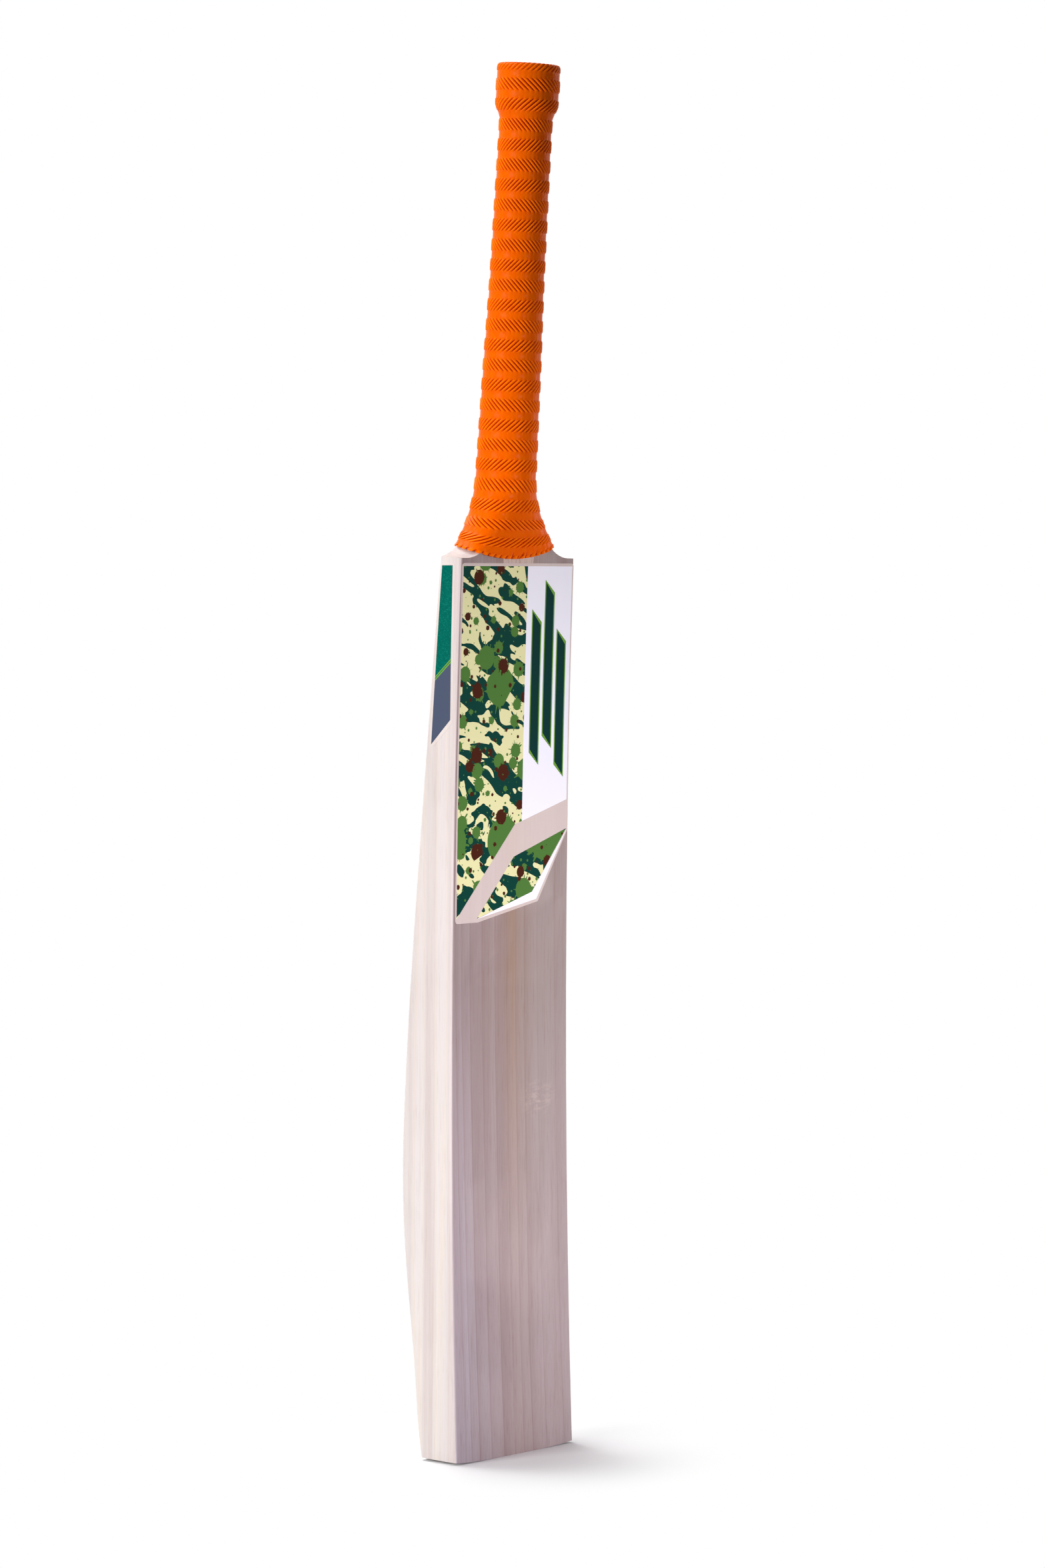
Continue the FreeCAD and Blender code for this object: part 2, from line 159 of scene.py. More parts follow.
def add(tree, kind, *inputs, out=None, stops=(), **settings):
    """Add a node to a tree and give back one of its outputs, the first one if none is named.

    The inputs fill the sockets that the node shows, in their order. Of the settings, those in
    lower case are the node's own and the others are sockets. A socket takes a number, a colour's
    hex code or another node's output. A ramp's stops are places with a hex code or a grey share.
    """
    node = tree.nodes.new("ShaderNode" + kind)
    for name, value in settings.items():
        if name.islower():
            setattr(node, name, value)
    filled = list(zip([socket for socket in node.inputs if socket.enabled], inputs))
    filled += [(node.inputs[name.replace("_", " ")], value) for name, value in settings.items()
               if not name.islower()]
    for socket, value in filled:
        if isinstance(value, bpy.types.NodeSocket):
            tree.links.new(value, socket)
        else:
            socket.default_value = hex_colour(value) if isinstance(value, str) else value
    if stops:
        elements = node.color_ramp.elements
        while len(elements) < len(stops):
            elements.new(1.0)
        for element, (place, value) in zip(elements, stops):
            element.position = place
            element.color = (hex_colour(value) if isinstance(value, str)
                             else (value, value, value, 1.0))
    if out is None:
        return next((socket for socket in node.outputs if socket.enabled), None)
    return node.outputs[out]


def millimetres(tree):
    """Object coordinates in millimetres."""
    return add(tree, "VectorMath", add(tree, "TexCoord", out="Object"), operation="SCALE",
               Scale=1.0 / MM)


# Year rings that come through the face: place across it in mm and strength of the dark line.
YEAR_RINGS = ((-50.0, 0.26), (-44.4, 0.34), (-37.0, 0.46), (-26.2, 0.34), (-14.9, 0.42),
              (-4.6, 0.18), (3.6, 0.30), (11.8, 0.34), (24.0, 0.22), (40.2, 0.22))
RING_SPAN = 60.0                # mm each side of the middle that the rings' ramp covers
GRAIN_LEAN = 0.019              # the rings drift across by this share of the height
RING_HEIGHT = 300.0             # the height in mm at which the rings have those places
RING_SWAY = 5.0                 # mm between the furthest that a ring wanders to each side
KNOT = (26.0, 0.0, 218.0)       # middle of a pin knot's mottle on the face, in mm
KNOT_SIZE = (11.0, 1000.0, 8.0)     # its half-width and half-height; it goes through the blade
KNOT_PUSH = 8.0                 # mm that the rings are pushed aside in the mottle
# Marks per mm across the blade, through it and up it.
SWAY_MARKS = (0.012, 0.035, 0.0035)
BAND_MARKS = (0.05, 0.10, 0.0014)       # broad bands of tone, 20 mm wide
STRAND_MARKS = (0.5, 0.5, 0.004)        # bundles of fibre, 2 mm wide
DAPPLE_MARKS = (0.12, 0.1, 0.30)        # curly grain round the knot, 8 mm wide and 3 mm high
# Willow's pores are some 0.05 mm wide; they are drawn 0.6 mm wide and 22 mm long so that they show.
PORE_MARKS = (1.6, 1.6, 0.045)
TOE_TONE_END = 60.0             # the face and edges are painted palest up to this height, in mm, as painted light
FACE_TONE_START = 300.0         # and have their full tone from here up
FACE_SHADE_DEEPEST = 0.7               # mm behind the face that its painted shade reaches at the corners
FACE_SHADE_FULL = 0.25                 # and up to where it is full


def year_ring_stops():
    """Each ring: a sharp edge, the dark late wood, then a fade into the next pale early wood."""
    stops = []
    for place, strength in YEAR_RINGS:
        for step, share in ((-0.5, 0.0), (0.0, strength), (0.9, 0.42 * strength)):
            stops.append(((place + step) / RING_SPAN / 2.0 + 0.5, share))
    return stops


def willow_colour(tree):
    """Straight-grained bleached willow: soft year rings up the blade, pores and a pin knot.

    The hitting face is painted darker and greyer than the bare wood of the edges, as painted shade;
    face and edges are painted paler towards the toe, as painted light.
    """
    here = millimetres(tree)
    x, y, z = (add(tree, "SeparateXYZ", here, out=axis) for axis in "XYZ")
    knot = add(tree, "VectorMath", add(tree, "Mapping", here, vector_type="TEXTURE",
                                       Location=KNOT, Scale=KNOT_SIZE), operation="LENGTH")
    knot = add(tree, "MapRange", knot, interpolation_type="SMOOTHSTEP", From_Min=1.8,
               From_Max=0.2, To_Max=1.0)
    dapple = add(tree, "TexNoise", add(tree, "Mapping", here, Scale=DAPPLE_MARKS), Scale=1.0,
                 Detail=2.0, Roughness=0.6)
    mottle = add(tree, "Math", knot, add(tree, "Math", dapple, 0.45, operation="SUBTRACT"),
                 operation="MULTIPLY")
    sway = add(tree, "TexNoise", add(tree, "Mapping", here, Scale=SWAY_MARKS),
               Scale=1.0, Detail=2.0)
    across = add(tree, "Math", z, GRAIN_LEAN, x, operation="MULTIPLY_ADD")
    across = add(tree, "Math", sway, RING_SWAY, across, operation="MULTIPLY_ADD")
    across = add(tree, "Math", mottle, KNOT_PUSH, across, operation="MULTIPLY_ADD")
    middle = RING_HEIGHT * GRAIN_LEAN + RING_SWAY / 2.0
    across = add(tree, "MapRange", across, middle - RING_SPAN, middle + RING_SPAN)
    rings = add(tree, "ValToRGB", across, stops=year_ring_stops())
    bands = add(tree, "TexNoise", add(tree, "Mapping", here, Scale=BAND_MARKS),
                Scale=1.0, Detail=2.0)
    pores = add(tree, "TexNoise", add(tree, "Mapping", here, Scale=PORE_MARKS), Scale=1.0,
                Detail=3.0, Roughness=0.65)
    height = add(tree, "MapRange", z, TOE_TONE_END, FACE_TONE_START)
    # Painted shade: the face's tones are darker and greyer than the bare wood of the edges.
    face = add(tree, "ValToRGB", across, stops=(
        (0.05, "9B8C8A"), (0.18, "9D8E8C"), (0.27, "A39390"), (0.42, "9F8D87"), (0.51, "A28B7A"),
        (0.56, "9F8C82"), (0.70, "A2948E"), (0.95, "A1938E")))
    # Painted light: the face is paler towards the toe, for light bouncing up from the floor.
    toe = add(tree, "ValToRGB", across, stops=(
        (0.05, "C3B8BF"), (0.50, "C4B2B0"), (0.95, "C4B5B5")))
    face = add(tree, "Mix", height, toe, face, data_type="RGBA")
    bare = add(tree, "ValToRGB", bands, stops=((0.36, "E4DCD9"), (0.50, "E6DFDC"), (0.60, "E7DCD4"),
                                               (0.68, "E6DEDB")))
    # Painted light: the bare edges are paler towards the toe too.
    painted_toe_light = add(tree, "Mix", height, "FFFFFF", "F4F2F2", data_type="RGBA")
    bare = add(tree, "Mix", 1.0, bare, painted_toe_light, data_type="RGBA", blend_type="MULTIPLY")
    # The face, painted darker as painted shade, is told from the rest by its depth behind the bowed
    # hitting surface.
    bow = add(tree, "Math", add(tree, "Math", z, BLADE_LENGTH / MM / 2.0, operation="SUBTRACT"),
              2.0, operation="POWER")
    depth = add(tree, "Math", bow, 0.5 * MM / BOW_RADIUS, y, operation="MULTIPLY_ADD")
    surface = (FACE_BOW - SOLE_CENTRE) / MM
    shaded_face_mask = add(tree, "MapRange", depth, surface + FACE_SHADE_DEEPEST, surface + FACE_SHADE_FULL,
                interpolation_type="SMOOTHSTEP")
    strands = add(tree, "TexNoise", add(tree, "Mapping", here, Scale=STRAND_MARKS), Scale=1.0,
                  Detail=3.0, Roughness=0.6)
    strands = add(tree, "ValToRGB", strands, stops=((0.34, "FAF6F4"), (0.46, "FFFFFF")))
    wood = add(tree, "Mix", shaded_face_mask, bare, face, data_type="RGBA")
    wood = add(tree, "Mix", 1.0, wood, strands, data_type="RGBA", blend_type="MULTIPLY")
    shade = add(tree, "ValToRGB", bands, stops=((0.35, "F2ECEA"), (0.6, "FFFFFF")))
    wood = add(tree, "Mix", 1.0, wood, shade, data_type="RGBA", blend_type="MULTIPLY")
    shade = add(tree, "ValToRGB", pores, stops=((0.34, "DCCFCB"), (0.47, "FFFFFF")))
    wood = add(tree, "Mix", add(tree, "Math", shaded_face_mask, 0.15, 0.25, operation="MULTIPLY_ADD"), wood,
               shade, data_type="RGBA", blend_type="MULTIPLY")
    strength = add(tree, "Math", shaded_face_mask, 0.8, 0.2, operation="MULTIPLY_ADD")
    wood = add(tree, "Mix", add(tree, "Math", rings, strength, operation="MULTIPLY"), wood,
               "806058", data_type="RGBA")
    pale = add(tree, "Math", mottle, 1.8, operation="MULTIPLY", use_clamp=True)
    return add(tree, "Mix", pale, wood, "DECCBC", data_type="RGBA"), pores


def sanded_willow():
    """Willow, sanded and waxed: pale, nearly matt, with fine open pores along the grain."""
    material, tree = new_material("sanded_willow")
    colour, pores = willow_colour(tree)
    add(tree, "OutputMaterial", add(
        tree, "BsdfPrincipled", Base_Color=colour, Roughness=0.5, Specular_IOR_Level=0.2,
        Normal=add(tree, "Bump", Height=pores, Strength=0.25, Distance=0.05 * MM)))
    return material


def clear_vinyl(name, milk):
    """Clear cast vinyl on willow: the wood's grain, veiled by the share of milk in the film."""
    material, tree = new_material(name)
    colour, pores = willow_colour(tree)
    colour = add(tree, "Mix", milk, colour, "EFE0D6", data_type="RGBA")
    add(tree, "OutputMaterial", add(
        tree, "BsdfPrincipled", Base_Color=colour, Roughness=0.4, Specular_IOR_Level=0.2,
        Coat_Weight=0.1, Coat_Roughness=0.15))
    return material


CANE_PORE_MARKS = (1.6, 1.6, 0.05)      # per mm: pores 0.6 mm wide and 20 mm long


def laminated_cane():
    """Split and glued cane, planed: straw-coloured, with dark pores drawn out along the handle."""
    material, tree = new_material("laminated_cane")
    here = millimetres(tree)
    pores = add(tree, "TexNoise", add(tree, "Mapping", here, Scale=CANE_PORE_MARKS), Scale=1.0,
                Detail=3.0, Roughness=0.6)
    colour = add(tree, "ValToRGB", pores, stops=(
        (0.32, "8E7866"), (0.45, "C4B2A4"), (0.7, "CCBCAE")))
    add(tree, "OutputMaterial", add(
        tree, "BsdfPrincipled", Base_Color=colour, Roughness=0.6,
        Normal=add(tree, "Bump", Height=pores, Strength=0.4, Distance=0.08 * MM)))
    return material


def sheet_stock(name, dark, pale, grain, rough):
    """Cut sheet rubber or pressed cork: matt, with grains of so many mm."""
    material, tree = new_material(name)
    here = millimetres(tree)
    grains = add(tree, "TexNoise", here, Scale=1.0 / grain, Detail=3.0, Roughness=0.6)
    add(tree, "OutputMaterial", add(
        tree, "BsdfPrincipled", Roughness=rough,
        Base_Color=add(tree, "ValToRGB", grains, stops=((0.35, dark), (0.65, pale))),
        Normal=add(tree, "Bump", Height=grains, Strength=0.5, Distance=0.06 * MM)))
    return material


TWINE_PITCH = 1.0               # mm from one turn of the twine to the next


def waxed_twine():
    """Waxed linen twine, wound close: tan, with a shadow between the turns."""
    material, tree = new_material("waxed_twine")
    z = add(tree, "SeparateXYZ", millimetres(tree), out="Z")
    turns = add(tree, "Math", add(tree, "Math", z, 2.0 * math.pi / TWINE_PITCH,
                                  operation="MULTIPLY"), operation="SINE")
    turns = add(tree, "Math", turns, 0.5, 0.5, operation="MULTIPLY_ADD")
    add(tree, "OutputMaterial", add(
        tree, "BsdfPrincipled", Roughness=0.7,
        Base_Color=add(tree, "ValToRGB", turns, stops=((0.0, "A08A5E"), (0.6, "D8C79C"))),
        Normal=add(tree, "Bump", Height=turns, Strength=0.6, Distance=0.3 * MM)))
    return material


def moulded_orange_rubber():
    """Moulded natural rubber: strong orange with a soft sheen, and painted shade in its grooves."""
    material, tree = new_material("moulded_orange_rubber")
    here = millimetres(tree)
    # Clouds of colour 4 mm across, and a skin of fine bumps drawn 0.3 mm across so that they show.
    clouds = add(tree, "TexNoise", here, Scale=0.25, Detail=3.0, Roughness=0.6)
    skin = add(tree, "TexNoise", here, Scale=3.0, Detail=3.0, Roughness=0.6)
    orange = add(tree, "ValToRGB", clouds, stops=((0.3, "FC6C00"), (0.7, "FF7800")))
    # The relief is 0 in the grooves, a half on the plain bands and 1 on the crests of the ribs.
    relief = add(tree, "Attribute", attribute_name="relief", out="Fac")
    # Painted shade: the grooves and slits are darker and redder, and the plain bands a little
    # darker than the crests.
    painted_groove_shade = add(tree, "ValToRGB", relief, stops=((0.0, "8E3A18"), (0.25, "DEA184"), (0.5, "F2DCCC"),
                                                (0.85, "FFFFFF")))
    add(tree, "OutputMaterial", add(
        tree, "BsdfPrincipled", Roughness=0.24, Specular_IOR_Level=0.022,
        Base_Color=add(tree, "Mix", 1.0, orange, painted_groove_shade, data_type="RGBA", blend_type="MULTIPLY"),
        Normal=add(tree, "Bump", Height=skin, Strength=0.35, Distance=0.04 * MM)))
    return material


def splashes(tree, flat, cell, radius, spikes, seed):
    """Mask of round paint splashes with a few spikes, one in each cell of so many mm."""
    moved = add(tree, "VectorMath", flat, (seed, seed * 1.7, 0.0), operation="ADD")
    cells = {"voronoi_dimensions": "2D", "Scale": 1.0 / cell, "Randomness": 0.9}
    middle = add(tree, "TexVoronoi", moved, out="Position", **cells)
    chance = add(tree, "TexVoronoi", moved, out="Color", **cells)
    away = add(tree, "VectorMath", moved, middle, operation="SUBTRACT")
    heading = add(tree, "VectorMath", add(tree, "VectorMath", away, operation="NORMALIZE"),
                  operation="SCALE", Scale=2.6)
    heading = add(tree, "VectorMath", heading, add(tree, "VectorMath", chance, operation="SCALE",
                                                   Scale=9.0), operation="ADD")
    ragged = add(tree, "TexNoise", heading, Scale=1.6, Detail=2.0, Roughness=0.6)
    spike = add(tree, "MapRange", ragged, 0.52, 0.75, interpolation_type="SMOOTHSTEP")
    spike = add(tree, "Math", spike, spikes, 0.85, operation="MULTIPLY_ADD")
    swell = add(tree, "Math", add(tree, "SeparateXYZ", chance), 1.2, 0.15,
                operation="MULTIPLY_ADD")
    rim = add(tree, "Math", add(tree, "Math", spike, swell, operation="MULTIPLY"), radius,
              operation="MULTIPLY")
    return add(tree, "Math", add(tree, "VectorMath", away, operation="LENGTH"), rim,
               operation="LESS_THAN")


# Paint splashes: cell and radius in mm, length of the spikes against the radius, seed, colour.
LEAF_GREEN = "4E7A36"
EARTH_BROWN = "451C0C"
SPLASHES = ((38.0, 13.0, 0.5, 3.0, LEAF_GREEN), (16.0, 4.2, 0.6, 11.0, LEAF_GREEN),
            (24.0, 4.6, 0.4, 29.0, EARTH_BROWN), (11.0, 1.3, 0.3, 47.0, EARTH_BROWN),
            (7.0, 0.8, 0.2, 5.0, LEAF_GREEN))
STREAK_SIZE = (36.0, 8.0, 1.0)  # length and width of the streaks in mm
STREAK_SLANT = math.radians(-27.0)
STREAK_PUSH = 5.0               # mm that they are bent by
STREAK_LEVEL = 0.49             # the noise above this is a dark streak


def camouflage(tree):
    """Woodland camouflage: dark slanted streaks on cream, under green and brown splashes."""
    here = millimetres(tree)
    flat = add(tree, "CombineXYZ", *(add(tree, "SeparateXYZ", here, out=axis) for axis in "XZ"))
    warp = add(tree, "TexNoise", flat, Scale=0.05, Detail=0.0, out="Color")
    warp = add(tree, "VectorMath", warp, (0.5, 0.5, 0.5), operation="SUBTRACT")
    bent = add(tree, "VectorMath", flat, add(tree, "VectorMath", warp, operation="SCALE",
                                             Scale=STREAK_PUSH), operation="ADD")
    slanted = add(tree, "Mapping", bent, vector_type="TEXTURE", Scale=STREAK_SIZE,
                  Rotation=(0.0, 0.0, STREAK_SLANT))
    streaks = add(tree, "TexNoise", slanted, Scale=1.0, Detail=1.2, Roughness=0.45)
    colour = add(tree, "Mix", add(tree, "Math", streaks, STREAK_LEVEL, operation="GREATER_THAN"),
                 "E8E6AC", "003C32", data_type="RGBA")
    for cell, radius, spikes, seed, ink in SPLASHES:
        colour = add(tree, "Mix", splashes(tree, flat, cell, radius, spikes, seed), colour, ink,
                     data_type="RGBA")
    return colour


def camouflage_vinyl():
    """Camouflage printed on vinyl under a clear gloss: flat inks with hard edges."""
    material, tree = new_material("camouflage_vinyl")
    add(tree, "OutputMaterial", add(
        tree, "BsdfPrincipled", Base_Color=camouflage(tree), Roughness=0.4,
        Specular_IOR_Level=0.03, Coat_Weight=0.03, Coat_Roughness=0.15))
    return material


def printed_vinyl(name, ink):
    """One ink on vinyl under a clear gloss, with the faint grain of the print."""
    material, tree = new_material(name)
    here = millimetres(tree)
    # The real grain is some 0.05 mm; it is drawn at 0.4 mm so that it shows.
    grain = add(tree, "TexNoise", here, Scale=2.2, Detail=2.0, Roughness=0.7)
    grain = add(tree, "Math", grain, 0.05, operation="MULTIPLY")
    add(tree, "OutputMaterial", add(
        tree, "BsdfPrincipled", Roughness=0.34, Specular_IOR_Level=0.02, Coat_Weight=0.02,
        Coat_Roughness=0.15, Base_Color=add(tree, "Mix", grain, ink, "606070", data_type="RGBA")))
    return material


def metallic_teal_vinyl():
    """Teal ink with metal flake on vinyl: a few fine specks are painted lighter, as painted glints
    of the flake.
    """
    material, tree = new_material("metallic_teal_vinyl")
    here = millimetres(tree)
    # The real flake is some 0.1 mm across; it is drawn at 0.6 mm so that it shows.
    flake = add(tree, "SeparateXYZ", add(tree, "TexVoronoi", here, Scale=1.6, out="Color"))
    # Painted glints: the top fifth of the flake cells is painted a lighter teal.
    colour = add(tree, "ValToRGB", flake, stops=((0.0, "005A4E"), (0.8, "006558"), (1.0, "107A68")))
    add(tree, "OutputMaterial", add(
        tree, "BsdfPrincipled", Base_Color=colour, Roughness=0.42, Specular_IOR_Level=0.02,
        Coat_Weight=0.01, Coat_Roughness=0.2))
    return material


# ---- Camera --------------------------------------------------------------------------------------
CAMERA_YAW = math.radians(47.807)
CAMERA_DISTANCE = 2.8731        # level, from the foot of the hitting face
CAMERA_HEIGHT = 0.54513
CAMERA_PITCH = math.radians(-2.631)
CAMERA_ROLL = math.radians(0.216)
CAMERA_SIDESTEP = 0.002885
CAMERA_LENS = 107.95


def add_camera():
    """Camera with a long lens, a little above the middle of the bat and looking slightly down."""
    ahead = Vector((math.sin(CAMERA_YAW), math.cos(CAMERA_YAW), 0.0))
    right = Vector((math.cos(CAMERA_YAW), -math.sin(CAMERA_YAW), 0.0))
    up = Vector((0.0, 0.0, 1.0))
    place = -ahead * CAMERA_DISTANCE + right * CAMERA_SIDESTEP + up * CAMERA_HEIGHT
    place.y -= SOLE_CENTRE
    look = ahead * math.cos(CAMERA_PITCH) + up * math.sin(CAMERA_PITCH)
    top = up * math.cos(CAMERA_PITCH) - ahead * math.sin(CAMERA_PITCH)
    side = right * math.cos(CAMERA_ROLL) + top * math.sin(CAMERA_ROLL)
    top = top * math.cos(CAMERA_ROLL) - right * math.sin(CAMERA_ROLL)
    data = bpy.data.cameras.new("camera")
    data.sensor_fit = "VERTICAL"
    data.sensor_height = 36.0
    data.lens = CAMERA_LENS
    camera = bpy.data.objects.new("camera", data)
    camera.matrix_world = Matrix((
        (side.x, top.x, -look.x, place.x),
        (side.y, top.y, -look.y, place.y),
        (side.z, top.z, -look.z, place.z),
        (0.0, 0.0, 0.0, 1.0)))
    bpy.context.scene.collection.objects.link(camera)
    bpy.context.scene.camera = camera


add_camera()


# ---- Rubber sleeve -------------------------------------------------------------------------------
SLEEVE_TOP = 300.1              # mm along the handle, from the shoulder
NECK_LENGTH = 53.5              # the D-shaped neck runs out into the round handle here
# Outside of the plain bands: height along the handle, radius.
PLAIN_RADIUS = ((53.5, 18.35), (80.0, 17.95), (119.0, 17.45), (144.0, 16.9), (171.0, 16.4),
                (262.0, 15.85), (267.0, 16.0), (275.0, 18.7), (279.0, 19.0), (301.0, 19.0))
FLARE_HALF_WIDTH = 44.0         # the flare's size if it went on down to the shoulder
FLARE_FRONT = 16.5
FLARE_BACK = 18.2
FLARE_SQUARENESS = 5.0          # of its front half: 2 is an ellipse, more is a D
FLARE_WIDTH_POWER = 2.0         # how fast the flare dies away up the neck
FLARE_REACH_POWER = 1.2
SQUARENESS_POWER = 2.2
HEM_HEIGHT = 1.6
HEM_ARCH_RADIUS = 110.0
HEM_ARCH_MIDDLE = -8.0          # the hem was pulled on a little askew
HEM_BACK_SLOPE = 0.17           # it rises round the sides, towards the back
HEM_FADE = 42.0                 # the bands follow the hem's line less and less up to here
RIBS = 37
RIB_CREST = 0.6                 # ribs stand this far above the plain bands
GROOVE_DEPTH = 0.4              # and the grooves between them go this far below
# Section of a rib: share of the pitch, share of the height. The grooves are narrow.
RIB_SECTION = ((0.0, 0.0), (0.09, 0.06), (0.20, 0.62), (0.33, 0.92), (0.5, 1.0), (0.67, 0.92),
               (0.80, 0.62), (0.91, 0.06))
# Rows up a ribbed band: share of its height, share of the ribs' height.
BAND_SECTION = ((0.0, 0.0), (0.05, 0.6), (0.14, 0.9), (0.3, 1.0), (0.5, 1.0), (0.7, 1.0),
                (0.86, 0.9), (0.95, 0.6), (1.0, 0.0))
# Rows of the hem's cut ribs: height over the hem, how far they have leaned, share of the height.
HEM_ROWS = ((0.0, 0.0, 0.8), (0.9, 0.006, 0.8), (1.3, 0.008, 0.0))
RIB_SHIFT = 0.072               # share of the way round that a rib leans across its band
BAND_PITCH = 12.09              # from one plain band to the next
PLAIN_WIDTH = 4.3
RIBBED_WIDTH = BAND_PITCH - PLAIN_WIDTH
FIRST_ROUND_BAND = 51.3         # middle of the first plain band on the round handle
NECK_PLAIN_BANDS = (5.1, 15.8, 26.8, 38.9)     # middles of those on the neck
RIM_RADIUS = 1.9
RIM_FADE = 6.0                  # the ribs run out over this height under the rim
RIM_RIB_SHARE = 0.15            # and keep this share of their height on the rim
STUB_LENGTH = 0.9               # stubs of cut ribs hang this far under the hem
SLITS = (0.452, 0.497, 0.512, 0.566)    # short slits in the hem: places round the sleeve
SLIT_DEPTH = 0.5
OPENING_RADIUS = 10.5
WALL_THICKNESS = 1.9
BOUND_RADIUS = 14.4             # of the bound handle, where the thick collar lies on it
COLLAR_FOOT = 250.0             # rings inside above this height are under the collar
RIM_SHARES = (0.0, 0.25, 0.5, 0.75, 1.0)    # rings round the rim's quarter turn
# Radius and height of the rings over the top and down the hole to the cut end of the cane.
MOUTH = ((16.3, SLEEVE_TOP), (13.6, SLEEVE_TOP), (11.1, SLEEVE_TOP - 0.1),
         (OPENING_RADIUS, SLEEVE_TOP - 0.7), (OPENING_RADIUS, 297.9), (10.9, 297.25),
         (13.4, 297.15), (BOUND_RADIUS, 296.8))
INNER_HEIGHTS = (270.0, 240.0, 200.0, 160.0, 120.0, 90.0, 70.0, 55.0, 45.0, 36.0, 28.0, 20.0, 12.0,
                 6.0)
SLEEVE_SMOOTH_ANGLE = math.radians(50.0)


def outline_sizes(height):
    """Half-width, front reach, back reach and squareness of the plain sleeve at a height."""
    rest = np.clip(1.0 - height / NECK_LENGTH, 0.0, None)
    round_radius = np.interp(height, [h for h, r in PLAIN_RADIUS], [r for h, r in PLAIN_RADIUS])
    wide = rest ** FLARE_WIDTH_POWER
    deep = rest ** FLARE_REACH_POWER
    return (round_radius + (FLARE_HALF_WIDTH - round_radius) * wide,
            round_radius + (FLARE_FRONT - round_radius) * deep,
            round_radius + (FLARE_BACK - round_radius) * deep,
            2.0 + (FLARE_SQUARENESS - 2.0) * rest ** SQUARENESS_POWER)


def outline_point(turn, height):
    """Points of the plain sleeve at angles round the handle and heights along it."""
    half, front, back, squareness = outline_sizes(height)
    c = np.cos(turn)
    s = np.sin(turn)
    power = np.where(s < 0.0, 2.0 / squareness, 1.0)
    x = np.sign(c) * np.abs(c) ** power * half
    y = np.sign(s) * np.abs(s) ** power * np.where(s < 0.0, front, back)
    return x, y


def even_turns(shares, height):
    """Angles that lie at given shares of the way round one outline, from the back middle."""
    turn = np.linspace(math.pi / 2.0, 2.5 * math.pi, 1441)
    x, y = outline_point(turn, height)
    steps = np.hypot(np.diff(x), np.diff(y))
    travelled = np.concatenate(([0.0], np.cumsum(steps)))
    return np.interp(np.mod(shares, 1.0), travelled / travelled[-1], turn)


def sleeve_ring(shares, height, raised, inset=0.0, tilt=0.0):
    """One ring of the sleeve, raised along its outward normal, in mm about the upright axis."""
    turn = even_turns(shares, height)
    fade = max(0.0, 1.0 - height / HEM_FADE) ** 2
    local = np.full(len(shares), height)
    for _ in range(8):
        x, y = outline_point(turn, local)
        arch = HEM_ARCH_RADIUS - np.sqrt(HEM_ARCH_RADIUS ** 2 - (x - HEM_ARCH_MIDDLE) ** 2)
        rise = arch + HEM_BACK_SLOPE * np.clip(y + FLARE_FRONT - 4.0, 0.0, None)
        local = (local + height + fade * rise) / 2.0
    ahead = outline_point(turn + 0.004, local)
    behind = outline_point(turn - 0.004, local)
    tx = ahead[0] - behind[0]
    ty = ahead[1] - behind[1]
    length = np.maximum(np.hypot(tx, ty), 1e-9)
    out = raised * math.cos(tilt) - inset
    return np.stack([x + ty / length * out, y - tx / length * out,
                     local + raised * math.sin(tilt)], 1)


def band_rows():
    """Rows of the outer wall: height, how far the rows have leaned, share of the rib's height."""
    middles = list(NECK_PLAIN_BANDS)
    middle = FIRST_ROUND_BAND
    while middle < SLEEVE_TOP:
        middles.append(middle)
        middle += BAND_PITCH
    lean = HEM_ROWS[-1][1]
    rows = [(HEM_HEIGHT + height, share, level) for height, share, level in HEM_ROWS]
    direction = 1.0
    for low_middle, high_middle in zip(middles, middles[1:] + [middle]):
        low = low_middle + PLAIN_WIDTH / 2.0
        high = high_middle - PLAIN_WIDTH / 2.0
        rows.append((low_middle, lean, 0.0))
        for share, level in BAND_SECTION:
            height = low + (high - low) * share
            if height < SLEEVE_TOP - RIM_RADIUS:
                rows.append((height, lean + direction * RIB_SHIFT * share, level))
        lean += direction * RIB_SHIFT
        direction = -direction
    return rows


def to_handle(points):
    """Points in mm about the upright axis, leaned and put on the bat in metres."""
    c = math.cos(HANDLE_LEAN)
    s = math.sin(HANDLE_LEAN)
    x = points[:, 0]
    y = points[:, 1] * c - points[:, 2] * s
    z = points[:, 1] * s + points[:, 2] * c
    return np.stack([x, y, z], 1) * MM + np.array(HANDLE_FOOT)


